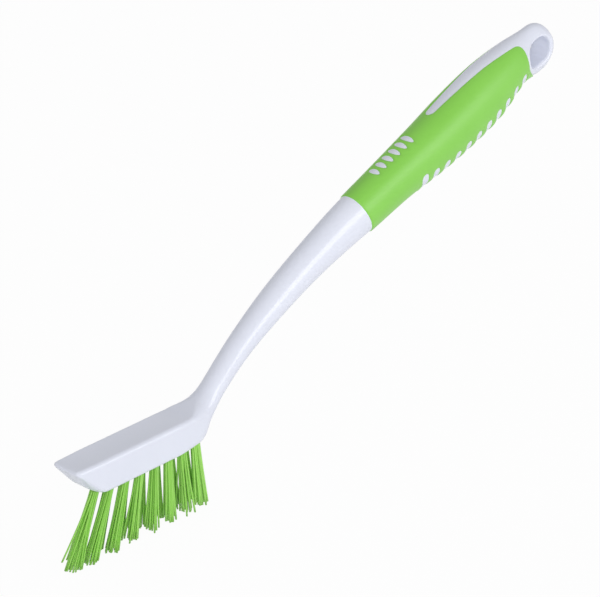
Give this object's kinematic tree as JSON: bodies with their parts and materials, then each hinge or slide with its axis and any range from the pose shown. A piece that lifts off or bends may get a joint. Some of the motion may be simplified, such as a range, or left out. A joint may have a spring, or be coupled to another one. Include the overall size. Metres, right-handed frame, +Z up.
{
  "type": "grout brush",
  "caption": "Hand brush with a narrow flat-topped head, staggered rows of forward-leaning tufts, a bent neck, a soft ribbed grip sleeve and a hang loop, for scrubbing grout joints.",
  "frame": {"origin": "Under the middle of the brush's box, on the plane of the bristle tips.", "axes": "+X from the nose of the head towards the hang loop, +Y across the brush, +Z up, square to the flat top of the head."},
  "size_m": [0.2506, 0.0186, 0.1268],
  "materials": {
    "white_plastic": "moulded polypropylene, smooth and glossy",
    "green_grip": "moulded thermoplastic elastomer, satin",
    "green_filament": "stiff drawn filament, semi-gloss",
    "anchor_wire": "flat cut wire"
  },
  "bodies": {
    "root": {"handle": "white_plastic", "grip_sleeve": "green_grip", "bristles_near_front": "green_filament", "bristles_near_rear": "green_filament", "bristles_far_front": "green_filament", "bristles_far_rear": "green_filament", "tuft_anchor_01": "anchor_wire", "tuft_anchor_02": "anchor_wire", "tuft_anchor_03": "anchor_wire", "tuft_anchor_04": "anchor_wire", "tuft_anchor_05": "anchor_wire", "tuft_anchor_06": "anchor_wire", "tuft_anchor_07": "anchor_wire", "tuft_anchor_08": "anchor_wire", "tuft_anchor_09": "anchor_wire", "tuft_anchor_10": "anchor_wire", "tuft_anchor_11": "anchor_wire", "tuft_anchor_12": "anchor_wire", "tuft_anchor_13": "anchor_wire", "tuft_anchor_14": "anchor_wire", "tuft_anchor_15": "anchor_wire"}
  },
  "joints": []
}
